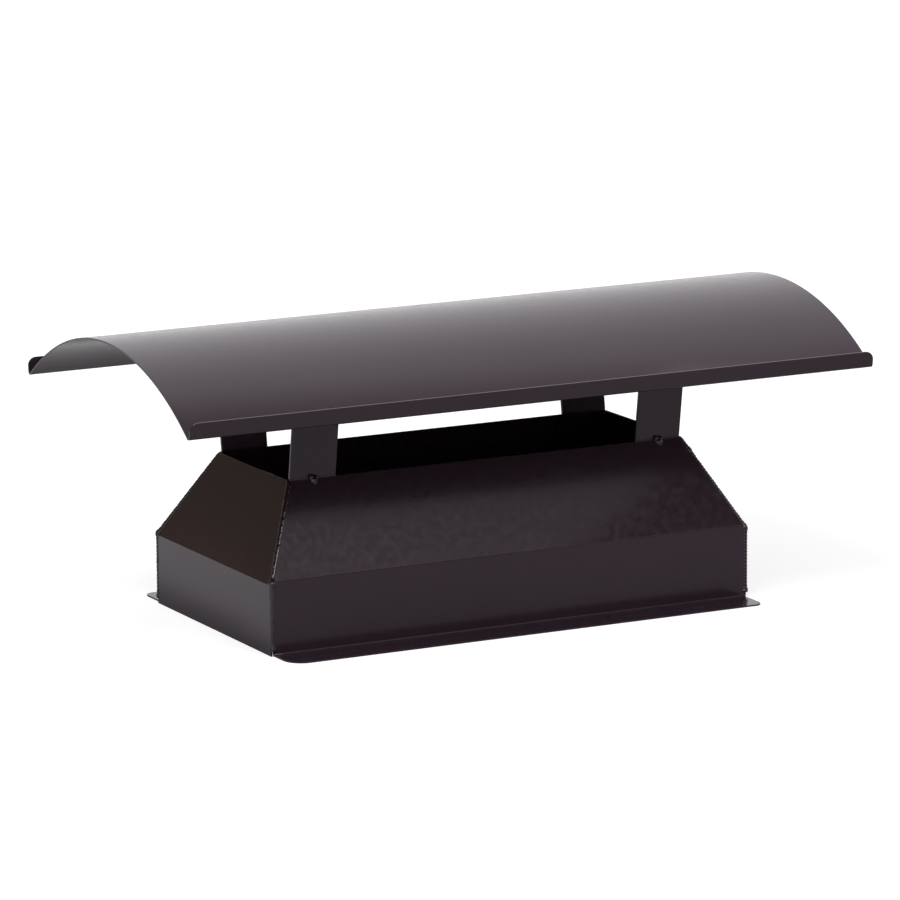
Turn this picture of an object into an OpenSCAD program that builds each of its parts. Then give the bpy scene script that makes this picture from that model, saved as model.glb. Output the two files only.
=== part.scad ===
// Chimney cowl: a welded rectangular base that narrows to an open throat, with an arched rain hood
// held above the throat by four bent flat-bar legs. All of it is black painted sheet steel.
// X runs along the cowl, the front looks towards -Y, Z is up, and z = 0 is the underside of the
// fixing flanges. Sizes are in millimetres.

/* [Base box] */
// Length of the base over the end walls
base_length = 527; // [460:1:640]
// Depth of the base over the long walls, without the flanges
base_depth = 264; // [220:1:340]
// Height of the fold line of the front and back panels above the seat
long_fold_height = 74; // [50:1:110]
// Height of the fold line of the end panels, a little lower than that of the long panels
end_fold_height = 70; // [46:1:106]
// Height of the throat's rim above the seat
throat_height = 159; // [130:1:200]
// Length of the throat over its outer edges
throat_length = 437; // [400:1:450]
// Depth of the throat over its outer edges
throat_depth = 160; // [120:1:200]
// Thickness of the base and hood sheet
sheet = 1.6; // [1.2:0.1:2.4]
// Inside radius of every fold in the base panels
panel_fold_radius = 1.6; // [1:0.1:3]

/* [Fixing flanges] */
// Width of each fixing flange beyond the long wall
flange_width = 38.5; // [30:0.5:50]
// Distance from the end wall's face to the end of a flange
flange_set_back = 3; // [2:0.1:8]
// Radius of the flange corners
flange_corner_radius = 9; // [4:1:20]
// Radius of the flange corner at the front left, which is cut back more than the rest
front_left_corner_radius = 20; // [4:1:24]
// Diameter of the fixing holes
fixing_hole_d = 6; // [4:0.5:9]
// Distance between the two fixing holes of a flange, along the cowl
fixing_hole_pitch = 400; // [300:5:440]
// Distance from the long wall's face to the centre of the fixing holes
fixing_hole_offset = 21; // [16:0.5:26]

/* [Corner welds] */
// Radius of the round bead that fills each open corner
bead_radius = 2.9; // [2.6:0.1:3]
// Radius of the ball of weld where a bead passes the fold lines
ball_radius = 3.4; // [3.1:0.1:4]
// Distance from the outer faces to the bead's centre line
bead_inset = 1.9; // [1.6:0.1:2.2]
// Height above the seat at which the upright beads start
bead_start = 4.5; // [4.2:0.1:10]
// Gap left between a panel's edge and the panel it meets
seam_gap = 0.05; // [0:0.01:0.2]

/* [Legs] */
// Width of the flat bar of the legs
leg_width = 50; // [30:1:60]
// Thickness of the flat bar of the legs
leg_thickness = 3; // [2:0.5:4]
// Distance from the throat's outer corner to the outer edge of a leg
leg_inset = 2.2; // [2:0.1:20]
// Outward lean of a leg, in degrees from upright
leg_lean = 8.5; // [4:0.5:12]
// Length of the leg's foot, lapped down the inside of the long panel
leg_lap = 30; // [20:1:40]
// Inside radius of the bends in a leg
leg_bend_radius = 4; // [3:0.5:6]
// Distance from the cowl's middle plane to the middle of a leg's top tab
tab_reach = 108; // [104:1:112]
// Gap between a leg and the sheet that it is welded to
leg_gap = 0.05; // [0:0.01:0.2]
// Radius of the weld tack where a leg leaves the throat
tack_radius = 5.4; // [4:0.1:7]

/* [Hood] */
// Length of the hood
hood_length = 747; // [640:1:840]
// Width of the hood over its two eave folds
hood_width = 379; // [340:1:440]
// Height of the eave folds' underside above the seat
eave_height = 232; // [222:1:240]
// Height of the crown above the eave folds' underside
hood_rise = 65; // [58:1:72]
// Height of the turned-up lip above the eave fold's underside
lip_height = 18; // [12:1:30]
// Outward lean of the lip, in degrees from upright
lip_lean = 8; // [0:1:20]
// Inside radius of the eave fold
eave_fold_radius = 1.8; // [1:0.1:3]
// Radius of the lip's corners
lip_corner_radius = 9; // [3:1:14]

/* [Hidden] */
$fn = 64;
paint = "#2d262b";
weld_paint = "#231d21";
far = 2000;
// how far the shapes that trim the base run past the rim and the seat
beyond_rim = 60;
// lean of the slopes from upright
long_lean = atan((base_depth - throat_depth) / 2 / (throat_height - long_fold_height));
end_lean = atan((base_length - throat_length) / 2 / (throat_height - end_fold_height));
// hood section: radius of the outer face and height of its centre
hood_r = (hood_width * hood_width / 4 + hood_rise * hood_rise) / (2 * hood_rise);
hood_cz = eave_height + hood_rise - hood_r;
eave_allow = 1.25 * (eave_fold_radius + sheet);
eave_angle = asin((hood_width / 2 - eave_allow) / hood_r);
eave_fold = eave_angle + 90 - lip_lean;
// height of the end of the eave fold, where the lip's flat starts
eave_rc = eave_fold_radius + sheet / 2;
lip_start = hood_cz + (hood_r - sheet / 2) * cos(eave_angle) + eave_rc * cos(eave_angle)
    - eave_rc * sin(lip_lean);
lip_run = (eave_height + lip_height - lip_start) / cos(lip_lean);
// leg section
leg_mid_x = throat_length / 2 - leg_inset - leg_width / 2;
tab_angle = asin(tab_reach / (hood_r - sheet));
hole_y = base_depth / 2 + fixing_hole_offset;

function len2(v) = sqrt(v[0] * v[0] + v[1] * v[1]);
function cross2(a, b) = a[0] * b[1] - a[1] * b[0];
// where the line through a along u meets the line through b along v
function meet(a, u, b, v) = a + u * cross2(b - a, v) / cross2(u, v);
// length that a fold takes off each straight beside it
function set_back(angle, r, t) = (r + t / 2) * tan(angle / 2);

// A flat run of a bent section, from the local origin along +X; what follows starts at its end.
module flat_run(run, t) {
    translate([0, -t / 2])
    square([run, t]);
    translate([run, 0])
    children();
}

// A true round bend with inside radius r, to the left for a positive angle; what follows starts
// at its end, in the new direction.
module fold(angle, r, t) {
    side = sign(angle);
    rc = r + t / 2;
    reach = 2 * rc + 2 * t;
    translate([0, side * rc]) {
        intersection() {
            difference() {
                circle(r = rc + t / 2);
                circle(r = rc - t / 2);
            }
            translate([0, -reach])
            square([reach, 2 * reach]);
            rotate(angle)
            translate([-reach, -reach])
            square([reach, 2 * reach]);
        }
        rotate(angle)
        translate([0, -side * rc])
        children();
    }
}

// Sections of the base panels and the legs run through stations [across, up, heading].
function ahead(s, d) = [s[0] + d * cos(s[2]), s[1] + d * sin(s[2]), s[2]];
function turned(s, angle, rc) = let (k = sign(angle) * rc, h = s[2] + angle)
    [s[0] + k * (sin(h) - sin(s[2])), s[1] + k * (cos(s[2]) - cos(h)), h];
function fold_stations(s, angle, rc, n) = [for (i = [1 : n]) turned(s, angle * i / n, rc)];
function side_point(s, d) = [s[0] - d * sin(s[2]), s[1] + d * cos(s[2])];

// A strip of sheet along a row of stations.
module strip(row, t) {
    polygon(concat(
        [for (s = row) side_point(s, t / 2)],
        [for (i = [len(row) - 1 : -1 : 0]) side_point(row[i], -t / 2)]
    ));
}

// Outline of the base seen along one axis, drawn in by inset on every sloping and upright face.
module base_outline(half, half_top, fold_z, lean, inset) {
    low = half - inset;
    fold = fold_z - inset * tan(lean / 2);
    top = half_top - inset / cos(lean) - beyond_rim * tan(lean);
    polygon([
        [-low, -beyond_rim], [low, -beyond_rim], [low, fold],
        [top, throat_height + beyond_rim], [-top, throat_height + beyond_rim], [-low, fold]
    ]);
}

// Everything inside the long panels' outer faces, drawn in by inset.
module within_long(inset) {
    rotate([90, 0, 90])
    linear_extrude(height = 2 * base_length, center = true)
    base_outline(base_depth / 2, throat_depth / 2, long_fold_height, long_lean, inset);
}

// Everything inside the end panels' outer faces, drawn in by inset.
module within_ends(inset) {
    rotate([90, 0, 0])
    linear_extrude(height = 2 * base_length, center = true)
    base_outline(base_length / 2, throat_length / 2, end_fold_height, end_lean, inset);
}

// Length of a wall's and a slope's middle line, measured to where the two meet.
function wall_line(fold_z, lean) = fold_z - sheet / 2 * tan(lean / 2);
function slope_line(half, half_top, fold_z, lean) =
    len2([half - half_top, throat_height - fold_z]) - sheet / 2 * tan(lean / 2);

// Section of a long panel: flange, wall and slope folded from one sheet.
module long_section() {
    rc = panel_fold_radius + sheet / 2;
    low = set_back(90, panel_fold_radius, sheet);
    high = set_back(long_lean, panel_fold_radius, sheet);
    wall = wall_line(long_fold_height, long_lean) - sheet / 2;
    slope = slope_line(base_depth / 2, throat_depth / 2, long_fold_height, long_lean);
    edge = [-base_depth / 2 - flange_width, sheet / 2, 0];
    flange_end = ahead(edge, flange_width + sheet / 2 - low);
    low_fold = fold_stations(flange_end, 90, rc, 8);
    wall_end = ahead(low_fold[7], wall - low - high);
    high_fold = fold_stations(wall_end, -long_lean, rc, 4);
    rim = ahead(high_fold[3], slope - high);
    strip(concat([edge, flange_end], low_fold, [wall_end], high_fold, [rim]), sheet);
}

// A long panel with its flange, drawn as the front one.
module long_panel(left_radius, right_radius) {
    difference() {
        intersection() {
            rotate([90, 0, 90])
            linear_extrude(height = base_length, center = true)
            long_section();
            within_ends(sheet + seam_gap);
        }
        flange_corner(-1, left_radius);
        flange_corner(1, right_radius);
        for (side = [-1, 1]) {
            translate([side * fixing_hole_pitch / 2, -hole_y, -1])
            cylinder(d = fixing_hole_d, h = sheet + 2);
        }
    }
}

// What is cut away from one end of a flange: a strip off the end and the rounded corner.
module flange_corner(side, radius) {
    end_x = base_length / 2 - flange_set_back;
    edge_y = base_depth / 2 + flange_width;
    translate([0, 0, -1])
    linear_extrude(height = sheet + panel_fold_radius + 2)
    scale([side, 1])
    difference() {
        translate([end_x - radius, -edge_y - 1])
        square([radius + 20, edge_y - base_depth / 2 + 1 - 0.01]);
        translate([end_x - radius, -edge_y + radius])
        circle(r = radius);
        translate([end_x - radius - 1, -edge_y + radius])
        square([radius + 1, edge_y]);
    }
}

module front_panel() {
    color(paint)
    long_panel(front_left_corner_radius, flange_corner_radius);
}

module back_panel() {
    color(paint)
    rotate([0, 0, 180])
    long_panel(flange_corner_radius, flange_corner_radius);
}

// Section of an end panel: a wall and a slope.
module end_section() {
    rc = panel_fold_radius + sheet / 2;
    high = set_back(end_lean, panel_fold_radius, sheet);
    wall = wall_line(end_fold_height, end_lean);
    slope = slope_line(base_length / 2, throat_length / 2, end_fold_height, end_lean);
    foot = [-base_length / 2 + sheet / 2, 0, 90];
    wall_end = ahead(foot, wall - high);
    high_fold = fold_stations(wall_end, -end_lean, rc, 4);
    rim = ahead(high_fold[3], slope - high);
    strip(concat([foot, wall_end], high_fold, [rim]), sheet);
}

// An end panel, drawn as the left one: it fits between the long panels.
module end_panel() {
    intersection() {
        rotate([90, 0, 0])
        linear_extrude(height = base_depth, center = true)
        end_section();
        within_long(sheet + seam_gap);
    }
}

module left_end_panel() {
    color(paint)
    end_panel();
}

module right_end_panel() {
    color(paint)
    rotate([0, 0, 180])
    end_panel();
}

// Round bar of radius r from a to b.
module bar(a, b, r) {
    d = b - a;
    translate(a)
    rotate([0, acos(d[2] / norm(d)), atan2(d[1], d[0])])
    cylinder(r = r, h = norm(d));
}

// The bead in one corner, drawn at the front left: upright, a ball at the fold, then the sloping
// corner.
module corner_weld() {
    fold_z = (long_fold_height + end_fold_height) / 2 - bead_inset * tan(long_lean / 2);
    low = [-base_length / 2 + bead_inset, -base_depth / 2 + bead_inset, bead_start];
    knee = [low[0], low[1], fold_z];
    head = [
        -throat_length / 2 + bead_inset / cos(end_lean),
        -throat_depth / 2 + bead_inset / cos(long_lean),
        throat_height
    ];
    color(weld_paint)
    difference() {
        union() {
            bar(low, knee, bead_radius);
            translate(knee)
            sphere(r = ball_radius);
            bar(knee, head, bead_radius);
        }
        intersection() {
            within_long(0);
            within_ends(sheet);
        }
        intersection() {
            within_long(sheet);
            within_ends(0);
        }
        translate([-far / 2, -far / 2, throat_height - 1])
        cube([far, far, 100]);
    }
}

module corner_weld_front_left() {
    corner_weld();
}

module corner_weld_front_right() {
    mirror([1, 0, 0])
    corner_weld();
}

module corner_weld_back_left() {
    mirror([0, 1, 0])
    corner_weld();
}

module corner_weld_back_right() {
    mirror([1, 0, 0])
    mirror([0, 1, 0])
    corner_weld();
}

// Middle line of a leg's bends, in the plane across the cowl: rim bend, then tab bend.
slope_dir = [sin(long_lean), cos(long_lean)];
shank_dir = [-sin(leg_lean), cos(leg_lean)];
tab_dir = [-cos(tab_angle), -sin(tab_angle)];
rim_bend = long_lean + leg_lean;
tab_bend = 90 + tab_angle - leg_lean;
rim_set_back = set_back(rim_bend, leg_bend_radius, leg_thickness);
tab_set_back = set_back(tab_bend, leg_bend_radius, leg_thickness);
leg_back_off = sheet + leg_gap + leg_thickness / 2;
leg_rim = [
    -throat_depth / 2 + leg_back_off * cos(long_lean),
    throat_height - leg_back_off * sin(long_lean)
];
rim_corner = leg_rim + slope_dir * rim_set_back;
tab_r = hood_r - sheet - leg_gap - leg_thickness / 2;
tab_mid = [-tab_r * sin(tab_angle), hood_cz + tab_r * cos(tab_angle)];
tab_corner = meet(rim_corner, shank_dir, tab_mid, tab_dir);
shank_line = len2(tab_corner - rim_corner);
half_tab = len2(tab_mid - tab_corner);
// flats that each bend is drawn with
rim_steps = 4;
tab_steps = 10;

// Section of a leg: a foot lapped inside the slope, a shank that leans out, and a tab that
// follows the hood's curve.
module leg_section() {
    rc = leg_bend_radius + leg_thickness / 2;
    foot = [
        leg_rim[0] - leg_lap * slope_dir[0], leg_rim[1] - leg_lap * slope_dir[1], 90 - long_lean
    ];
    foot_end = ahead(foot, leg_lap);
    rim_fold = fold_stations(foot_end, rim_bend, rc, rim_steps);
    shank_end = ahead(rim_fold[rim_steps - 1], shank_line - rim_set_back - tab_set_back);
    tab_fold = fold_stations(shank_end, tab_bend, rc, tab_steps);
    tab_end = ahead(tab_fold[tab_steps - 1], 2 * half_tab - tab_set_back);
    strip(concat([foot, foot_end], rim_fold, [shank_end], tab_fold, [tab_end]), leg_thickness);
}

// A leg, drawn at the front left.
module leg() {
    color(paint)
    translate([-leg_mid_x, 0, 0])
    rotate([90, 0, 90])
    linear_extrude(height = leg_width, center = true)
    leg_section();
}

module leg_front_left() {
    leg();
}

module leg_front_right() {
    mirror([1, 0, 0])
    leg();
}

module leg_back_left() {
    mirror([0, 1, 0])
    leg();
}

module leg_back_right() {
    mirror([1, 0, 0])
    mirror([0, 1, 0])
    leg();
}

// The blob of weld that holds a leg to the rim of the long panel, drawn at the front left. It
// fills in between the panel's outer face, its rim and the leg.
module tack() {
    rim_edge = [-throat_depth / 2, throat_height];
    inward = [cos(long_lean), -sin(long_lean)];
    centre = leg_rim - inward * (leg_thickness / 2 + leg_bend_radius);
    face = [
        for (i = [0 : rim_steps]) let (turn = long_lean - rim_bend * i / rim_steps)
            centre + leg_bend_radius * [cos(turn), -sin(turn)]
    ];
    color(weld_paint)
    difference() {
        translate([-leg_mid_x, -throat_depth / 2 + 0.8, throat_height - 1])
        sphere(r = tack_radius);
        translate([-leg_mid_x, 0, 0])
        rotate([90, 0, 90])
        linear_extrude(height = 4 * tack_radius, center = true)
        polygon(concat(
            [rim_edge - slope_dir * 40, rim_edge], face,
            [face[rim_steps] + shank_dir * 40, rim_edge + [60, 60], rim_edge + [60, -60]]
        ));
    }
}

module tack_front_left() {
    tack();
}

module tack_front_right() {
    mirror([1, 0, 0])
    tack();
}

module tack_back_left() {
    mirror([0, 1, 0])
    tack();
}

module tack_back_right() {
    mirror([1, 0, 0])
    mirror([0, 1, 0])
    tack();
}

// The hood: one sheet rolled to an arch, with both eaves folded up into a lip.
module hood_section() {
    translate([0, hood_cz]) {
        intersection() {
            difference() {
                circle(r = hood_r);
                circle(r = hood_r - sheet);
            }
            rotate(-eave_angle)
            translate([-far, 0])
            square([far, far]);
            rotate(eave_angle)
            square([far, far]);
        }
        for (side = [0, 1]) {
            mirror([side, 0])
            rotate(-eave_angle)
            translate([0, hood_r - sheet / 2])
            fold(eave_fold, eave_fold_radius, sheet)
            flat_run(lip_run, sheet);
        }
    }
}

// What rounds off the end of a lip.
module lip_corner() {
    top = eave_height + lip_height;
    translate([hood_length / 2 - lip_corner_radius, -hood_width / 2 - 20, top - lip_corner_radius])
    rotate([90, 0, 0])
    translate([0, 0, -26])
    linear_extrude(height = 46)
    difference() {
        square([lip_corner_radius + 1, lip_corner_radius + 1]);
        circle(r = lip_corner_radius);
    }
}

module hood() {
    color(paint)
    difference() {
        rotate([90, 0, 90])
        linear_extrude(height = hood_length, center = true)
        hood_section();
        for (side = [-1, 1], end = [-1, 1]) {
            scale([end, side, 1])
            lip_corner();
        }
    }
}

front_panel();
back_panel();
left_end_panel();
right_end_panel();
corner_weld_front_left();
corner_weld_front_right();
corner_weld_back_left();
corner_weld_back_right();
leg_front_left();
leg_front_right();
leg_back_left();
leg_back_right();
tack_front_left();
tack_front_right();
tack_back_left();
tack_back_right();
hood();
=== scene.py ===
import math

import bmesh
import bpy
from mathutils import Matrix, Vector, noise


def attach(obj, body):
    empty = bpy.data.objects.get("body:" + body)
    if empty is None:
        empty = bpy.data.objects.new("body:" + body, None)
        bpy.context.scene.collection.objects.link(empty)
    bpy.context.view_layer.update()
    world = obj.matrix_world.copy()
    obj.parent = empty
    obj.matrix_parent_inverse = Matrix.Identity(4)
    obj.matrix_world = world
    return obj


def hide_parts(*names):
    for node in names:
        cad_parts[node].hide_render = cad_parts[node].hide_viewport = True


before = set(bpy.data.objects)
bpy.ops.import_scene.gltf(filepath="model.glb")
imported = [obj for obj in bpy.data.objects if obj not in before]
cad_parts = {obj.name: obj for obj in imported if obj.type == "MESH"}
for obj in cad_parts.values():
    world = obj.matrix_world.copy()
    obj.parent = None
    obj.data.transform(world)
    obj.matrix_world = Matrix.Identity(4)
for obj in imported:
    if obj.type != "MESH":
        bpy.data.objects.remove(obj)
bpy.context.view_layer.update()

# Stage: a white studio sweep, a large soft lamp above and the camera in front of the left corner. Nothing here is
# part of the cowl. The room beyond the sweep is dim, and the gloss paint mirrors it.
VIEW_YAW = math.radians(27.26)
VIEW_PITCH = math.radians(11.66)
VIEW_ROLL = math.radians(-0.4)
VIEW_DISTANCE = 5.949
PHOTO_SIDE = 900
SEAT_CENTRE_PX = (452.27, 599.88)
SENSOR = 36.0
FLOOR_HALF = 9.0
FLOOR_COLOUR = (0.50, 0.495, 0.50, 1.0)
CAMERA_LIFT = 0.72
SWEEP_LIFT = 0.45
SKY_LEVEL = 0.46


def place(tree, kind, sockets=None, **settings):
    """A node with its settings, and a value or a link for each named socket."""
    node = tree.nodes.new(kind)
    for key, value in settings.items():
        setattr(node, key, value)
    for socket, source in (sockets or {}).items():
        if isinstance(source, bpy.types.NodeSocket):
            tree.links.new(source, node.inputs[socket])
        else:
            node.inputs[socket].default_value = source
    return node


def sums(tree, operation, a, b=0.0, **settings):
    """The value of one Math node."""
    return place(tree, "ShaderNodeMath", {0: a, 1: b}, operation=operation, **settings).outputs[0]


def blended(tree, factor, a, b):
    """The colour between a and b."""
    return place(tree, "ShaderNodeMix", {0: factor, 6: a, 7: b}, data_type="RGBA").outputs[2]


def stretched(tree, value, low, high, to_low=0.0, to_high=1.0, way="SMOOTHSTEP"):
    """A value that goes smoothly from to_low to to_high as the input goes from low to high."""
    sockets = {0: value, 1: low, 2: high, 3: to_low, 4: to_high}
    return place(tree, "ShaderNodeMapRange", sockets, interpolation_type=way).outputs[0]


def aimed(obj, target):
    obj.rotation_euler = (Vector(target) - obj.location).to_track_quat("-Z", "Y").to_euler()


forward = Vector((
    math.sin(VIEW_YAW) * math.cos(VIEW_PITCH),
    math.cos(VIEW_YAW) * math.cos(VIEW_PITCH),
    -math.sin(VIEW_PITCH),
))
level_right = Vector((math.cos(VIEW_YAW), -math.sin(VIEW_YAW), 0))
level_up = level_right.cross(forward)
right = level_right * math.cos(VIEW_ROLL) + level_up * math.sin(VIEW_ROLL)
up = level_up * math.cos(VIEW_ROLL) - level_right * math.sin(VIEW_ROLL)
focal_px = VIEW_DISTANCE * 1000
aside = (SEAT_CENTRE_PX[0] - PHOTO_SIDE / 2) / focal_px * VIEW_DISTANCE
above = (PHOTO_SIDE / 2 - SEAT_CENTRE_PX[1]) / focal_px * VIEW_DISTANCE
camera = bpy.data.objects.new("photo_camera", bpy.data.cameras.new("photo_camera"))
camera.data.sensor_width = SENSOR
camera.data.lens = SENSOR * focal_px / PHOTO_SIDE
camera.data.clip_end = 60
turn = Matrix((right, up, -forward)).transposed().to_4x4()
camera.matrix_world = Matrix.Translation(-aside * right - above * up - VIEW_DISTANCE * forward) @ turn
bpy.context.collection.objects.link(camera)
bpy.context.scene.camera = camera
bpy.context.scene.view_settings.view_transform = "Standard"

world = bpy.data.worlds.new("studio")
bpy.context.scene.world = world
world.use_nodes = True
sky = world.node_tree
sky.nodes.clear()
toward = place(sky, "ShaderNodeTexCoord").outputs["Generated"]
split = place(sky, "ShaderNodeSeparateXYZ", {0: toward})
height = sums(sky, "ARCSINE", split.outputs["Z"])
bearing = sums(sky, "ARCTAN2", split.outputs["X"], split.outputs["Y"])


def between(tree, value, low, high, soft):
    """1 where an angle lies between two others, given in degrees, with soft sides."""
    rise = stretched(tree, value, math.radians(low - soft), math.radians(low + soft))
    fall = stretched(tree, value, math.radians(high - soft), math.radians(high + soft), 1.0, 0.0)
    return sums(tree, "MULTIPLY", rise, fall)


back_wall = between(sky, bearing, -2, 112, 8)
lamp_bank = sums(sky, "MULTIPLY", between(sky, bearing, 112, 172, 8), between(sky, height, 17, 34, 4))
ceiling = between(sky, height, 60, 100, 6)
studio = blended(sky, back_wall, (0.17, 0.135, 0.085, 1.0), (1.05, 1.03, 1.05, 1.0))
front_room = between(sky, bearing, 112, 172, 8)
studio = blended(sky, front_room, studio, (0.05, 0.045, 0.05, 1.0))
studio = blended(sky, lamp_bank, studio, (0.75, 0.74, 0.75, 1.0))
camera_side = sums(sky, "MAXIMUM", between(sky, bearing, 172, 200, 8), between(sky, bearing, -200, -95, 8))
studio = blended(sky, camera_side, studio, (0.9, 0.88, 0.9, 1.0))
studio = blended(sky, ceiling, studio, (0.42, 0.41, 0.42, 1.0))
ray = place(sky, "ShaderNodeLightPath")
seen = sums(sky, "MAXIMUM", ray.outputs["Is Camera Ray"], ray.outputs["Is Transmission Ray"])
plain = (SKY_LEVEL, SKY_LEVEL * 0.985, SKY_LEVEL, 1.0)
lit = blended(sky, ray.outputs["Is Glossy Ray"], plain, studio)
background = place(sky, "ShaderNodeBackground", {"Color": blended(sky, seen, lit, (1, 1, 1, 1))})
place(sky, "ShaderNodeOutputWorld", {"Surface": background.outputs[0]})


def sun_lamp(name, toward, strength, degrees):
    lamp = bpy.data.objects.new(name, bpy.data.lights.new(name, "SUN"))
    lamp.data.energy = strength
    lamp.data.angle = math.radians(degrees)
    lamp.location = toward
    aimed(lamp, (0, 0, 0))
    bpy.context.collection.objects.link(lamp)


sun_lamp("key_lamp", (-0.47, -0.26, 0.84), 1.1, 24)
sun_lamp("weld_lamp", (0.20, -0.60, 0.77), 0.49, 16)

# a dim card close to the right of the front slope: the slope mirrors its lower edge
card = bpy.data.objects.new("dim_card", bpy.data.lights.new("dim_card", "AREA"))
card.data.shape = "RECTANGLE"
card.data.size = 0.65
card.data.size_y = 0.26
card.data.energy = 0.21
card.visible_camera = False
card_out = Vector((0.46, -0.58, 0.67)).normalized()
card_side = Vector((0.768, 0.640, 0)).normalized()
card_up = card_side.cross(card_out)
if card_up.z < 0:
    card_up = -card_up
card_tilt = math.radians(7)
edge_way = card_side * math.cos(card_tilt) + card_up * math.sin(card_tilt)
card.matrix_world = Matrix.Translation((0.1896, -0.3616, 0.4557)) @ Matrix(
    (edge_way, card_out.cross(edge_way), card_out)
).transposed().to_4x4()
bpy.context.collection.objects.link(card)

floor = bpy.data.objects.new("floor", bpy.data.meshes.new("floor"))
corners = [(-FLOOR_HALF, -FLOOR_HALF, 0), (FLOOR_HALF, -FLOOR_HALF, 0),
           (FLOOR_HALF, FLOOR_HALF, 0), (-FLOOR_HALF, FLOOR_HALF, 0)]
floor.data.from_pydata(corners, [], [(0, 1, 2, 3)])
bpy.context.collection.objects.link(floor)
paper = bpy.data.materials.new("white_paper")
paper.use_nodes = True
tree = paper.node_tree
tree.nodes.clear()
matt = place(tree, "ShaderNodeBsdfDiffuse", {"Color": FLOOR_COLOUR})
ray = place(tree, "ShaderNodeLightPath")
seen = sums(tree, "MAXIMUM", ray.outputs["Is Camera Ray"], ray.outputs["Is Transmission Ray"])
where = place(tree, "ShaderNodeSeparateXYZ", {0: place(tree, "ShaderNodeNewGeometry").outputs["Position"]})
far_back = stretched(tree, where.outputs["Y"], 0.2, 0.9)
left_side = stretched(tree, where.outputs["X"], -0.27, -0.34, 0.0, 0.75)
swept = sums(tree, "MULTIPLY", sums(tree, "MAXIMUM", far_back, left_side), SWEEP_LIFT)
mirrored = sums(tree, "MULTIPLY", ray.outputs["Is Glossy Ray"], swept)
strength = sums(tree, "ADD", sums(tree, "MULTIPLY", seen, CAMERA_LIFT), mirrored)
glow = place(tree, "ShaderNodeEmission", {"Strength": strength})
both = place(tree, "ShaderNodeAddShader", {0: matt.outputs[0], 1: glow.outputs[0]})
place(tree, "ShaderNodeOutputMaterial", {"Surface": both.outputs[0]})
floor.data.materials.append(paper)

# Front and back panels: each is one sheet of 1.6 mm steel, folded in a press into a fixing flange, an upright wall
# and a slope, drilled for the fixings and sprayed black with the rest.
SHEET = 0.0016
PANEL_FOLD_R = 0.0016
BASE_LENGTH = 0.527
BASE_DEPTH = 0.264
THROAT_LENGTH = 0.437
THROAT_DEPTH = 0.160
THROAT_HEIGHT = 0.159
LONG_FOLD_Z = 0.074
END_FOLD_Z = 0.070
SEAM_GAP = 0.00005
FLANGE_WIDTH = 0.0385
FLANGE_SET_BACK = 0.003
FLANGE_CORNER_R = 0.009
FRONT_LEFT_CORNER_R = 0.020
HOLE_R = 0.003
HOLE_PITCH = 0.400
HOLE_OFFSET = 0.021
LONG_LEAN = math.atan((BASE_DEPTH - THROAT_DEPTH) / 2 / (THROAT_HEIGHT - LONG_FOLD_Z))
END_LEAN = math.atan((BASE_LENGTH - THROAT_LENGTH) / 2 / (THROAT_HEIGHT - END_FOLD_Z))
EDGE_ROUND = 0.00035
PRESS_WAVE = 0.00022
PAINT = (0.0265, 0.0150, 0.0225, 1.0)


def fold_allowance(angle, inside_r, thick):
    """What a fold takes off each straight beside it."""
    return (inside_r + thick / 2) * math.tan(abs(angle) / 2)


def bent_line(start, heading, moves, pace=0.010):
    """Stations (across, up, heading, slack) along a bent strip's middle line. A move is ("run", length, cuts) or
    ("bend", angle, radius of the middle line). Slack is how far the sheet may wave there, from 0 to 1."""
    across, height = start
    stations = [(across, height, heading, 0.0)]
    for kind, size, extra in moves:
        if kind == "run":
            count = max(1, round(size / pace))
            marks = sorted({round(size * i / count, 6) for i in range(1, count + 1)} | set(extra))
            for mark in marks:
                slack = min(1.0, min(mark, size - mark) / 0.02)
                stations.append(
                    (across + mark * math.cos(heading), height + mark * math.sin(heading), heading, slack)
                )
            across, height = stations[-1][0], stations[-1][1]
        else:
            count = max(6, math.ceil(abs(size) / math.radians(7.5)))
            if extra > 0.05:
                count = math.ceil(abs(size) * extra / 0.0045)
            side = math.copysign(extra, size)
            for i in range(1, count + 1):
                now = heading + size * i / count
                stations.append((
                    across + side * (math.sin(now) - math.sin(heading)),
                    height + side * (math.cos(heading) - math.cos(now)),
                    now,
                    1.0 if extra > 0.05 else 0.0,
                ))
            across, height, heading = stations[-1][0], stations[-1][1], heading + size
    return stations


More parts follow.
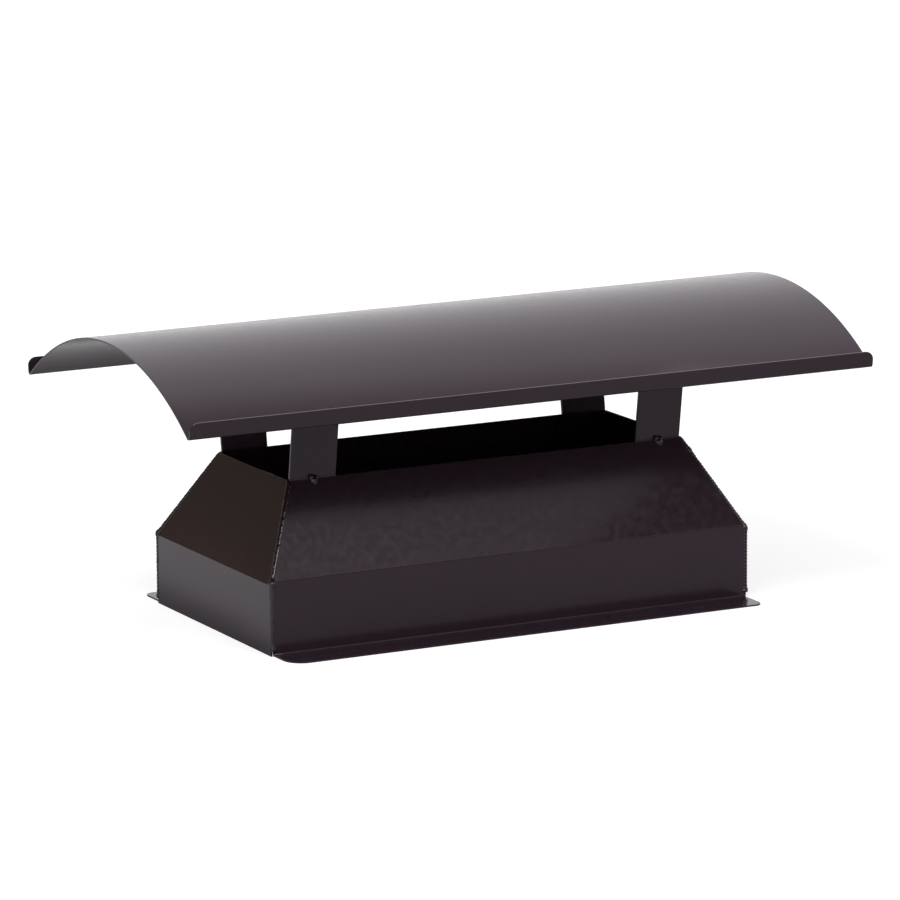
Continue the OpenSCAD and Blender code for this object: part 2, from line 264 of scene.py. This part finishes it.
def sheet_mesh(name, stations, thick, reach, columns, turn, wave=0.0, seed=0.0):
    """A bent sheet, drawn along X and then turned. reach(across, up) gives its two ends at a point of its face, and
    columns the places between them, from 0 to 1. wave is the height of the dents that pressing leaves."""
    verts = []
    for side in (1, -1):
        for across, height, heading, slack in stations:
            normal = (-math.sin(heading), math.cos(heading))
            y = across + side * thick / 2 * normal[0]
            z = height + side * thick / 2 * normal[1]
            low, high = reach(y, z)
            for share in columns:
                x = low + (high - low) * share
                away = min(1.0, min(x - low, high - x) / 0.03)
                spot = Vector((x * 7, across * 11, height * 11 + seed))
                shift = wave * slack * away * (0.5 + 0.5 * noise.noise(spot))
                verts.append(turn @ Vector((x, y + shift * normal[0], z + shift * normal[1])))
    rows, cols = len(stations), len(columns)

    def at(side, row, col):
        return (side * rows + row) * cols + col

    faces = []
    for r in range(rows - 1):
        for c in range(cols - 1):
            faces.append((at(0, r, c), at(0, r, c + 1), at(0, r + 1, c + 1), at(0, r + 1, c)))
            faces.append((at(1, r, c), at(1, r + 1, c), at(1, r + 1, c + 1), at(1, r, c + 1)))
        faces.append((at(0, r, 0), at(0, r + 1, 0), at(1, r + 1, 0), at(1, r, 0)))
        last = cols - 1
        faces.append((at(0, r, last), at(1, r, last), at(1, r + 1, last), at(0, r + 1, last)))
    for c in range(cols - 1):
        faces.append((at(0, 0, c), at(1, 0, c), at(1, 0, c + 1), at(0, 0, c + 1)))
        end = rows - 1
        faces.append((at(0, end, c), at(0, end, c + 1), at(1, end, c + 1), at(1, end, c)))
    mesh = bpy.data.meshes.new(name)
    mesh.from_pydata(verts, [], faces)
    mesh.validate()
    return mesh


def rounded_piece(name, mesh, material, node, edge=EDGE_ROUND):
    """The piece that stands for a node: smooth, with its sheet edges rounded off."""
    piece = bpy.data.objects.new(name, mesh)
    bpy.context.collection.objects.link(piece)
    mesh.materials.append(material)
    mesh.shade_smooth()
    bevel = piece.modifiers.new("rounded_edges", "BEVEL")
    bevel.width = edge
    bevel.segments = 2
    bevel.limit_method = "ANGLE"
    bevel.angle_limit = math.radians(50)
    bevel.harden_normals = False
    weighted = piece.modifiers.new("flat_faces", "WEIGHTED_NORMAL")
    weighted.keep_sharp = False
    weighted.weight = 80
    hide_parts(node)
    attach(piece, "root")
    return piece


def spread(length, pace, near=()):
    """Places from 0 to 1 along a length, a pace apart, with more of them at the distances in near."""
    count = max(2, round(length / pace))
    return sorted({round(i / count, 6) for i in range(count + 1)} | {round(n / length, 6) for n in near})


def drilled(mesh, centres, radius, depth):
    """The mesh with round holes straight down through it."""
    holder = bpy.data.objects.new("drilling", mesh)
    bpy.context.collection.objects.link(holder)
    drill = bmesh.new()
    for x, y in centres:
        bmesh.ops.create_cone(
            drill, cap_ends=True, segments=32, radius1=radius, radius2=radius, depth=depth,
            matrix=Matrix.Translation((x, y, 0)),
        )
    bit = bpy.data.objects.new("drill_bit", bpy.data.meshes.new("drill_bit"))
    drill.to_mesh(bit.data)
    drill.free()
    bpy.context.collection.objects.link(bit)
    cut = holder.modifiers.new("holes", "BOOLEAN")
    cut.object = bit
    cut.solver = "EXACT"
    seen_by = bpy.context.evaluated_depsgraph_get()
    result = bpy.data.meshes.new_from_object(holder.evaluated_get(seen_by))
    result.name = mesh.name
    bpy.data.objects.remove(holder)
    bpy.data.objects.remove(bit)
    return result


def shader_group(name, inputs, outputs):
    """An empty group of shader nodes with its named sockets; returns it with its two end nodes."""
    group = bpy.data.node_groups.new(name, "ShaderNodeTree")
    for label, kind, value in inputs:
        socket = group.interface.new_socket(label, in_out="INPUT", socket_type="NodeSocket" + kind)
        socket.default_value = value
    for label, kind in outputs:
        group.interface.new_socket(label, in_out="OUTPUT", socket_type="NodeSocket" + kind)
    return group, group.nodes.new("NodeGroupInput"), group.nodes.new("NodeGroupOutput")


def join(group, source, ends, label):
    group.links.new(source, ends.inputs[label])


# the sprayed film: cloudy tone, uneven gloss, orange peel and the slow waves of the sheet under it
film, given, ends = shader_group(
    "sprayed_film",
    [("Tone", "Color", PAINT), ("Cloud", "Float", 0.2), ("Gloss", "Float", 0.25), ("Peel", "Float", 1.0),
     ("Waves", "Float", 1.0)],
    [("Colour", "Color"), ("Roughness", "Float"), ("Height", "Float")],
)
spot = place(film, "ShaderNodeTexCoord").outputs["Object"]
cloud = place(film, "ShaderNodeTexNoise", {"Vector": spot, "Scale": 9.0, "Detail": 4.0}).outputs[0]
mist = place(film, "ShaderNodeTexNoise", {"Vector": spot, "Scale": 140.0, "Detail": 3.0}).outputs[0]
peel = place(film, "ShaderNodeTexNoise", {"Vector": spot, "Scale": 420.0, "Detail": 2.0}).outputs[0]
slow = place(film, "ShaderNodeTexNoise", {"Vector": spot, "Scale": 5.0, "Detail": 1.0}).outputs[0]
both = sums(film, "ADD", sums(film, "MULTIPLY", cloud, 0.7), sums(film, "MULTIPLY", mist, 0.3))
swing = sums(film, "MULTIPLY", sums(film, "SUBTRACT", both, 0.5), given.outputs["Cloud"])
level = sums(film, "ADD", 1.0, sums(film, "MULTIPLY", swing, 2.0))
tone = place(film, "ShaderNodeVectorMath", {0: given.outputs["Tone"], "Scale": level}, operation="SCALE").outputs[0]
join(film, tone, ends, "Colour")
uneven = stretched(film, mist, 0.3, 0.7, -0.035, 0.045, "LINEAR")
join(film, sums(film, "ADD", given.outputs["Gloss"], uneven), ends, "Roughness")
fine = sums(film, "MULTIPLY", sums(film, "MULTIPLY", peel, 0.010), given.outputs["Peel"])
broad = sums(film, "MULTIPLY", sums(film, "MULTIPLY", slow, 0.22), given.outputs["Waves"])
join(film, sums(film, "ADD", fine, broad), ends, "Height")

# painted highlight: a paler line laid along the edges of the sheet, broken up by noise, standing in for light caught
# there
edge_highlight_tree, given, ends = shader_group(
    "painted_edge_highlight",
    [("Width", "Float", 0.0009), ("Amount", "Float", 0.5)],
    [("Mask", "Float")],
)
rounded = place(edge_highlight_tree, "ShaderNodeBevel", {"Radius": given.outputs["Width"]}, samples=4).outputs[0]
true_face = place(edge_highlight_tree, "ShaderNodeNewGeometry").outputs["Normal"]
along = place(edge_highlight_tree, "ShaderNodeVectorMath", {0: rounded, 1: true_face}, operation="DOT_PRODUCT").outputs["Value"]
turned = stretched(edge_highlight_tree, along, 0.97, 0.80)
spot = place(edge_highlight_tree, "ShaderNodeTexCoord").outputs["Object"]
broken = place(edge_highlight_tree, "ShaderNodeTexNoise", {"Vector": spot, "Scale": 260.0, "Detail": 3.0}).outputs[0]
broken = stretched(edge_highlight_tree, broken, 0.42, 0.62)
join(edge_highlight_tree, sums(edge_highlight_tree, "MULTIPLY", sums(edge_highlight_tree, "MULTIPLY", turned, broken), given.outputs["Amount"]), ends, "Mask")

# specks of dust caught in the paint, sparse and under a millimetre across
specks, given, ends = shader_group(
    "dust_specks",
    [("Density", "Float", 0.02), ("Size", "Float", 0.03)],
    [("Mask", "Float")],
)
spot = place(specks, "ShaderNodeTexCoord").outputs["Object"]
grains = place(specks, "ShaderNodeTexVoronoi", {"Vector": spot, "Scale": 90.0})
lottery = place(specks, "ShaderNodeSeparateColor", {0: grains.outputs["Color"]}).outputs[0]
chosen = sums(specks, "LESS_THAN", lottery, given.outputs["Density"])
inside = sums(specks, "LESS_THAN", grains.outputs["Distance"], given.outputs["Size"])
join(specks, sums(specks, "MULTIPLY", chosen, inside), ends, "Mask")


def painted(name, tone=PAINT, gloss=0.17, cloud=0.25, peel=1.0, waves=1.0, edges=0.5, speck_share=0.02):
    """Black paint on steel, with the film, the painted edge highlight and the specks at their own strengths."""
    material = bpy.data.materials.new(name)
    material.use_nodes = True
    tree = material.node_tree
    tree.nodes.clear()
    coat = place(tree, "ShaderNodeGroup", {}, node_tree=film)
    for label, value in (("Tone", tone), ("Cloud", cloud), ("Gloss", gloss), ("Peel", peel), ("Waves", waves)):
        coat.inputs[label].default_value = value
    rim = place(tree, "ShaderNodeGroup", {}, node_tree=edge_highlight_tree)
    rim.inputs["Amount"].default_value = edges
    dust = place(tree, "ShaderNodeGroup", {}, node_tree=specks)
    dust.inputs["Density"].default_value = speck_share
    # rim's mask lays a paler colour along the sheet edges: a painted highlight
    colour = blended(tree, rim.outputs["Mask"], coat.outputs["Colour"], (0.115, 0.100, 0.110, 1))
    colour = blended(tree, dust.outputs["Mask"], colour, (0.13, 0.12, 0.125, 1))
    rough = sums(tree, "ADD", coat.outputs["Roughness"], sums(tree, "MULTIPLY", dust.outputs["Mask"], 0.35))
    height = sums(tree, "ADD", coat.outputs["Height"], sums(tree, "MULTIPLY", dust.outputs["Mask"], 0.02))
    relief = place(tree, "ShaderNodeBump", {"Strength": 1.0, "Distance": 0.001, "Height": height})
    shader = place(tree, "ShaderNodeBsdfPrincipled", {
        "Base Color": colour, "Roughness": rough, "Normal": relief.outputs[0],
        "IOR": 1.5, "Specular IOR Level": 0.5, "Specular Tint": (1.0, 0.93, 1.0, 1.0),
    })
    place(tree, "ShaderNodeOutputMaterial", {"Surface": shader.outputs[0]})
    return material


def corner_steps(*radii):
    """Distances from an edge at which the arcs of rounded corners are drawn."""
    return {round(r * (1 - math.cos(math.pi / 2 * i / 8)), 6) for r in radii for i in range(1, 9)}


def cut_back(radius, from_edge):
    """How far a rounded corner draws the end in, at a distance from the edge."""
    if from_edge >= radius:
        return 0.0
    return radius - math.sqrt(max(0.0, radius ** 2 - (radius - from_edge) ** 2))


def inner_half(half, half_top, fold_z, lean, height):
    """Half the space between two opposite panels at a height, up to their inner faces."""
    drawn_in = SHEET + SEAM_GAP
    knee = fold_z - drawn_in * math.tan(lean / 2)
    if height <= knee:
        return half - drawn_in
    return half_top - drawn_in / math.cos(lean) + (THROAT_HEIGHT - height) * math.tan(lean)


def long_line():
    """Middle line of a long panel: flange, wall and slope."""
    middle_r = PANEL_FOLD_R + SHEET / 2
    low = fold_allowance(math.pi / 2, PANEL_FOLD_R, SHEET)
    high = fold_allowance(LONG_LEAN, PANEL_FOLD_R, SHEET)
    wall = LONG_FOLD_Z - SHEET / 2 * math.tan(LONG_LEAN / 2) - SHEET / 2
    slope = math.hypot((BASE_DEPTH - THROAT_DEPTH) / 2, THROAT_HEIGHT - LONG_FOLD_Z)
    slope -= SHEET / 2 * math.tan(LONG_LEAN / 2)
    start = (-BASE_DEPTH / 2 - FLANGE_WIDTH, SHEET / 2)
    return bent_line(start, 0.0, [
        ("run", FLANGE_WIDTH + SHEET / 2 - low, corner_steps(FLANGE_CORNER_R, FRONT_LEFT_CORNER_R)),
        ("bend", math.pi / 2, middle_r),
        ("run", wall - low - high, set()),
        ("bend", -LONG_LEAN, middle_r),
        ("run", slope - high, set()),
    ])


def long_panel(name, left_r, right_r, degrees, seed):
    def reach(across, height):
        wall_half = inner_half(BASE_LENGTH / 2, THROAT_LENGTH / 2, END_FOLD_Z, END_LEAN, height)
        beyond = -BASE_DEPTH / 2 - across
        if beyond < 0.00001:
            return -wall_half, wall_half
        flange_half = BASE_LENGTH / 2 - FLANGE_SET_BACK
        from_edge = across + BASE_DEPTH / 2 + FLANGE_WIDTH
        return -flange_half + cut_back(left_r, from_edge), flange_half - cut_back(right_r, from_edge)

    columns = spread(BASE_LENGTH, 0.012)
    turn = Matrix.Rotation(math.radians(degrees), 4, "Z")
    mesh = sheet_mesh(name, long_line(), SHEET, reach, columns, turn, PRESS_WAVE, seed)
    hole_y = BASE_DEPTH / 2 + HOLE_OFFSET
    centres = [(turn @ Vector((side * HOLE_PITCH / 2, -hole_y, 0))).xy for side in (-1, 1)]
    mesh = drilled(mesh, centres, HOLE_R, 0.02)
    return rounded_piece(name, mesh, panel_paint, name[:-6])


panel_paint = painted("panel_paint")
long_panel("front_panel_sheet", FRONT_LEFT_CORNER_R, FLANGE_CORNER_R, 0, 3.0)
long_panel("back_panel_sheet", FLANGE_CORNER_R, FLANGE_CORNER_R, 180, 8.0)

# End panels: a wall and a slope from the same sheet, without a flange, set in between the long panels so that the
# corners stay open for the weld. Their fold lies a little lower than that of the long panels.


def end_line():
    """Middle line of an end panel."""
    middle_r = PANEL_FOLD_R + SHEET / 2
    high = fold_allowance(END_LEAN, PANEL_FOLD_R, SHEET)
    wall = END_FOLD_Z - SHEET / 2 * math.tan(END_LEAN / 2)
    slope = math.hypot((BASE_LENGTH - THROAT_LENGTH) / 2, THROAT_HEIGHT - END_FOLD_Z)
    slope -= SHEET / 2 * math.tan(END_LEAN / 2)
    return bent_line((-BASE_LENGTH / 2 + SHEET / 2, 0.0), math.pi / 2, [
        ("run", wall - high, set()),
        ("bend", -END_LEAN, middle_r),
        ("run", slope - high, set()),
    ])


def end_panel(name, degrees, seed):
    def reach(across, height):
        half = inner_half(BASE_DEPTH / 2, THROAT_DEPTH / 2, LONG_FOLD_Z, LONG_LEAN, height)
        return -half, half

    turn = Matrix.Rotation(math.radians(degrees), 4, "Z")
    columns = spread(BASE_DEPTH, 0.012)
    mesh = sheet_mesh(name, end_line(), SHEET, reach, columns, turn, PRESS_WAVE, seed)
    return rounded_piece(name, mesh, panel_paint, name[:-6])


end_panel("left_end_panel_sheet", -90, 21.0)
end_panel("right_end_panel_sheet", 90, 34.0)

# Corner welds: a bead run down each open corner with a rod, left as it cooled, with a ball where the welder stopped
# at the fold. Slag, ripples and drips show through the paint, which lies thick and glossy on them.
BEAD_R = 0.0027
BEAD_INSET = 0.0019
BEAD_FOOT_Z = 0.0045
RING = 22
WELD_PAINT = (0.022, 0.0125, 0.0185, 1.0)


def weld_material():
    """The same black, thick and glossy over ripples and spatter."""
    material = bpy.data.materials.new("weld_paint")
    material.use_nodes = True
    tree = material.node_tree
    tree.nodes.clear()
    coat = place(tree, "ShaderNodeGroup", {}, node_tree=film)
    for label, value in (("Tone", WELD_PAINT), ("Cloud", 0.5), ("Gloss", 0.10), ("Peel", 2.0), ("Waves", 0.0)):
        coat.inputs[label].default_value = value
    spot = place(tree, "ShaderNodeTexCoord").outputs["Object"]
    grit = place(tree, "ShaderNodeTexNoise", {"Vector": spot, "Scale": 900.0, "Detail": 2.0}).outputs[0]
    height = sums(tree, "ADD", coat.outputs["Height"], sums(tree, "MULTIPLY", grit, 0.06))
    relief = place(tree, "ShaderNodeBump", {"Strength": 1.0, "Distance": 0.001, "Height": height})
    shader = place(tree, "ShaderNodeBsdfPrincipled", {
        "Base Color": coat.outputs["Colour"], "Roughness": coat.outputs["Roughness"],
        "Normal": relief.outputs[0], "IOR": 1.5, "Specular IOR Level": 0.6,
    })
    place(tree, "ShaderNodeOutputMaterial", {"Surface": shader.outputs[0]})
    return material


def bead_mesh(name, path, radius, ripple, pitch, lumps, seed):
    """A weld bead along a path. Ripples are its scallops, and each lump is (distance along, width, extra radius)."""
    pace = 0.00042
    points, tangents, travelled = [], [], []
    done = 0.0
    for a, b in zip(path, path[1:]):
        length = (b - a).length
        count = max(1, round(length / pace))
        for i in range(count):
            points.append(a.lerp(b, i / count))
            travelled.append(done + length * i / count)
        done += length
    points.append(path[-1])
    travelled.append(done)
    tangents = [(points[min(i + 4, len(points) - 1)] - points[max(i - 4, 0)]).normalized()
                for i in range(len(points))]
    outward = Vector((path[0].x, path[0].y, 0)).normalized()
    verts = []
    for point, tangent, along in zip(points, tangents, travelled):
        across = tangent.cross(outward).normalized()
        out = across.cross(tangent).normalized()
        end = min(along, done - along)
        closing = math.sqrt(max(0.0, 1 - (1 - min(1.0, end / radius)) ** 2)) if end < radius else 1.0
        size = 1 + 0.10 * noise.noise(Vector((along * 170, seed, 0)))
        size += sum(extra / radius * math.exp(-((along - where) / wide) ** 2) for where, wide, extra in lumps)
        drift = 0.00025 * noise.noise(Vector((along * 90, seed + 5, 0)))
        centre = point + across * drift
        for i in range(RING):
            angle = 2 * math.pi * i / RING
            crescent = along / pitch + 0.30 * math.cos(2 * angle) + 0.4 * noise.noise(Vector((along * 60, seed, 9)))
            scallop = abs(math.sin(math.pi * crescent)) ** 0.7 - 0.6
            grain = noise.noise(Vector((along * 700, 3 * math.cos(angle) + seed, 3 * math.sin(angle))))
            r = radius * closing * size + closing * (ripple * scallop + 0.00010 * grain)
            verts.append(centre + r * (math.cos(angle) * out + math.sin(angle) * across))
    rings = len(points)
    faces = [
        (r * RING + i, r * RING + (i + 1) % RING, (r + 1) * RING + (i + 1) % RING, (r + 1) * RING + i)
        for r in range(rings - 1) for i in range(RING)
    ]
    faces.append(tuple(reversed(range(RING))))
    faces.append(tuple(range((rings - 1) * RING, rings * RING)))
    mesh = bpy.data.meshes.new(name)
    mesh.from_pydata(verts, [], faces)
    mesh.validate()
    tidy = bmesh.new()
    tidy.from_mesh(mesh)
    bmesh.ops.recalc_face_normals(tidy, faces=tidy.faces)
    tidy.to_mesh(mesh)
    tidy.free()
    mesh.shade_smooth()
    return mesh


def weld_piece(name, mesh, *nodes):
    piece = bpy.data.objects.new(name, mesh)
    bpy.context.collection.objects.link(piece)
    mesh.materials.append(weld_paint)
    if nodes:
        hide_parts(*nodes)
    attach(piece, "root")
    return piece


weld_paint = weld_material()
knee_z = (LONG_FOLD_Z + END_FOLD_Z) / 2 - BEAD_INSET * math.tan(LONG_LEAN / 2)
upright = knee_z - BEAD_FOOT_Z
CORNERS = {
    "front_left": (-1, -1, 0.00010, 0.0060, [(0.001, 0.0025, 0.0009), (upright - 0.008, 0.006, 0.0005),
                                             (upright, 0.0024, 0.0011)]),
    "front_right": (1, -1, 0.00055, 0.0034, [(0.001, 0.0040, 0.0014), (upright, 0.0050, 0.0006),
                                             (upright + 0.095, 0.0030, 0.0009)]),
    "back_left": (-1, 1, 0.00040, 0.0040, [(0.002, 0.0030, 0.0010), (upright, 0.0028, 0.0009)]),
    "back_right": (1, 1, 0.00045, 0.0037, [(0.001, 0.0030, 0.0010), (upright, 0.0028, 0.0010)]),
}
for seed, (corner, (side_x, side_y, ripple, pitch, lumps)) in enumerate(CORNERS.items()):
    foot = Vector((
        side_x * (BASE_LENGTH / 2 - BEAD_INSET), side_y * (BASE_DEPTH / 2 - BEAD_INSET), BEAD_FOOT_Z
    ))
    knee = Vector((foot.x, foot.y, knee_z))
    head = Vector((
        side_x * (THROAT_LENGTH / 2 - BEAD_INSET / math.cos(END_LEAN)),
        side_y * (THROAT_DEPTH / 2 - BEAD_INSET / math.cos(LONG_LEAN)),
        THROAT_HEIGHT - 0.0012,
    ))
    mesh = bead_mesh("bead_" + corner, [foot, knee, head], BEAD_R, ripple, pitch, lumps, 10.0 * seed)
    weld_piece("bead_" + corner, mesh, "corner_weld_" + corner)

# Legs: 50 by 3 mm flat bar, bent outward at the throat's rim and again at the top. The foot is lapped inside the
# slope and the tab lies against the underside of the hood.
LEG_WIDTH = 0.050
LEG_THICK = 0.003
LEG_INSET = 0.0022
LEG_LEAN = math.radians(8.5)
LEG_LAP = 0.030
LEG_BEND_R = 0.004
LEG_GAP = 0.00005
TAB_REACH = 0.108
HOOD_WIDTH = 0.379
HOOD_RISE = 0.065
EAVE_HEIGHT = 0.232
hood_r = (HOOD_WIDTH ** 2 / 4 + HOOD_RISE ** 2) / (2 * HOOD_RISE)
hood_cz = EAVE_HEIGHT + HOOD_RISE - hood_r
tab_angle = math.asin(TAB_REACH / (hood_r - SHEET))
leg_x = THROAT_LENGTH / 2 - LEG_INSET - LEG_WIDTH / 2


def leg_line():
    """Middle line of a front leg: foot, rim bend, shank, tab bend and tab."""
    back_off = SHEET + LEG_GAP + LEG_THICK / 2
    slope = Vector((math.sin(LONG_LEAN), math.cos(LONG_LEAN)))
    shank = Vector((-math.sin(LEG_LEAN), math.cos(LEG_LEAN)))
    tab = Vector((-math.cos(tab_angle), -math.sin(tab_angle)))
    rim = Vector((
        -THROAT_DEPTH / 2 + back_off * math.cos(LONG_LEAN), THROAT_HEIGHT - back_off * math.sin(LONG_LEAN)
    ))
    rim_bend = LONG_LEAN + LEG_LEAN
    tab_bend = math.pi / 2 + tab_angle - LEG_LEAN
    low = fold_allowance(rim_bend, LEG_BEND_R, LEG_THICK)
    high = fold_allowance(tab_bend, LEG_BEND_R, LEG_THICK)
    corner = rim + slope * low
    tab_r = hood_r - SHEET - LEG_GAP - LEG_THICK / 2
    middle = Vector((-tab_r * math.sin(tab_angle), hood_cz + tab_r * math.cos(tab_angle)))
    along = (middle - corner).cross(tab) / shank.cross(tab)
    top = corner + shank * along
    middle_r = LEG_BEND_R + LEG_THICK / 2
    return bent_line(tuple(rim - slope * LEG_LAP), math.pi / 2 - LONG_LEAN, [
        ("run", LEG_LAP, set()),
        ("bend", rim_bend, middle_r),
        ("run", along - low - high, set()),
        ("bend", tab_bend, middle_r),
        ("run", 2 * (middle - top).length - high, set()),
    ])


def leg_reach(across, height):
    return -LEG_WIDTH / 2, LEG_WIDTH / 2


bar_paint = painted("bar_paint", cloud=0.3, peel=1.4, waves=0.5, edges=0.7, speck_share=0.02)
LEGS = {"front_left": (-1, 0), "front_right": (1, 0), "back_left": (-1, 180), "back_right": (1, 180)}
for corner, (side_x, degrees) in LEGS.items():
    turn = Matrix.Translation((side_x * leg_x, 0, 0)) @ Matrix.Rotation(math.radians(degrees), 4, "Z")
    mesh = sheet_mesh("bar_" + corner, leg_line(), LEG_THICK, leg_reach, spread(LEG_WIDTH, 0.005), turn)
    rounded_piece("bar_" + corner, mesh, bar_paint, "leg_" + corner, edge=0.0006)

# Tacks: the blob of weld that holds each leg to the rim of the long panel, struck once and left lumpy.
TACK_R = 0.0046
TACK_LUMPS = [
    (Vector((0.0, -0.0002, -0.0012)), 0.0040),
    (Vector((-0.0022, 0.0004, 0.0022)), 0.0024),
    (Vector((0.0024, 0.0008, 0.0016)), 0.0022),
    (Vector((0.0004, -0.0022, -0.0036)), 0.0018),
    (Vector((-0.0030, 0.0002, 0.0000)), 0.0016),
]


def tack_mesh(name, side_y, centre, seed):
    """A lumpy blob: a ball drawn out to the nearest of several smaller balls."""
    shape = bmesh.new()
    bmesh.ops.create_icosphere(shape, subdivisions=5, radius=1.0)
    for vert in shape.verts:
        way = vert.co.normalized()
        far = 0.0
        for spot, size in TACK_LUMPS:
            lump = Vector((spot.x, spot.y * -side_y, spot.z))
            ahead = lump.dot(way)
            clear = lump.length_squared - ahead ** 2
            if clear < size ** 2:
                far = max(far, ahead + math.sqrt(size ** 2 - clear))
        far += 0.00025 * noise.noise(way * 2.3 + Vector((seed, 0, 0)))
        vert.co = centre + way * max(far, 0.0012)
    mesh = bpy.data.meshes.new(name)
    shape.to_mesh(mesh)
    shape.free()
    mesh.shade_smooth()
    return mesh


for seed, (corner, (side_x, degrees)) in enumerate(LEGS.items()):
    side_y = -1 if degrees == 0 else 1
    centre = Vector((side_x * leg_x, side_y * (THROAT_DEPTH / 2 + 0.0002), THROAT_HEIGHT - 0.001))
    weld_piece("blob_" + corner, tack_mesh("blob_" + corner, side_y, centre, 4.0 * seed), "tack_" + corner)

# Hood: one sheet rolled to an arch, with both eaves folded up into a lip whose corners are rounded off. The welds of
# the legs' tabs have drawn a faint dimple into the top; its size is set below, but the dimple is not drawn.
HOOD_LENGTH = 0.747
LIP_HEIGHT = 0.018
LIP_LEAN = math.radians(8)
EAVE_FOLD_R = 0.0018
LIP_CORNER_R = 0.009
DIMPLE_DEPTH = 0.00045
DIMPLE_HALF = 0.026


def hood_line():
    """Middle line of the hood: lip, eave fold, arch, eave fold and lip, from the front to the back."""
    eave_allow = 1.25 * (EAVE_FOLD_R + SHEET)
    eave_angle = math.asin((HOOD_WIDTH / 2 - eave_allow) / hood_r)
    eave_fold = eave_angle + math.pi / 2 - LIP_LEAN
    fold_r = EAVE_FOLD_R + SHEET / 2
    arch_r = hood_r - SHEET / 2
    lip_start = hood_cz + arch_r * math.cos(eave_angle) + fold_r * (math.cos(eave_angle) - math.sin(LIP_LEAN))
    lip = (EAVE_HEIGHT + LIP_HEIGHT - lip_start) / math.cos(LIP_LEAN)
    arch = ("bend", -2 * eave_angle, arch_r)
    stations = bent_line((0, 0), -(math.pi / 2 - LIP_LEAN), [
        ("run", lip, corner_steps(LIP_CORNER_R)),
        ("bend", eave_fold, fold_r),
        arch,
        ("bend", eave_fold, fold_r),
        ("run", lip, {round(lip - step, 6) for step in corner_steps(LIP_CORNER_R)}),
    ], pace=0.004)
    middle = (stations[0][0] + stations[-1][0]) / 2
    crown = max(station[1] for station in stations)
    lift = EAVE_HEIGHT + HOOD_RISE - SHEET / 2 - crown
    return [(across - middle, height + lift, heading, slack) for across, height, heading, slack in stations]


def hood_reach(across, height):
    from_top = EAVE_HEIGHT + LIP_HEIGHT - height
    half = HOOD_LENGTH / 2
    if abs(across) > HOOD_WIDTH / 2 - 0.004:
        half -= cut_back(LIP_CORNER_R, max(0.0, from_top))
    return -half, half


hood_paint = painted("hood_paint", cloud=0.22, peel=1.0, waves=0.8, edges=0.5, speck_share=0.01)
mesh = sheet_mesh(
    "hood_sheet", hood_line(), SHEET, hood_reach, spread(HOOD_LENGTH, 0.006),
    Matrix.Identity(4), -0.00018, 55.0,
)
rounded_piece("hood_sheet", mesh, hood_paint, "hood")
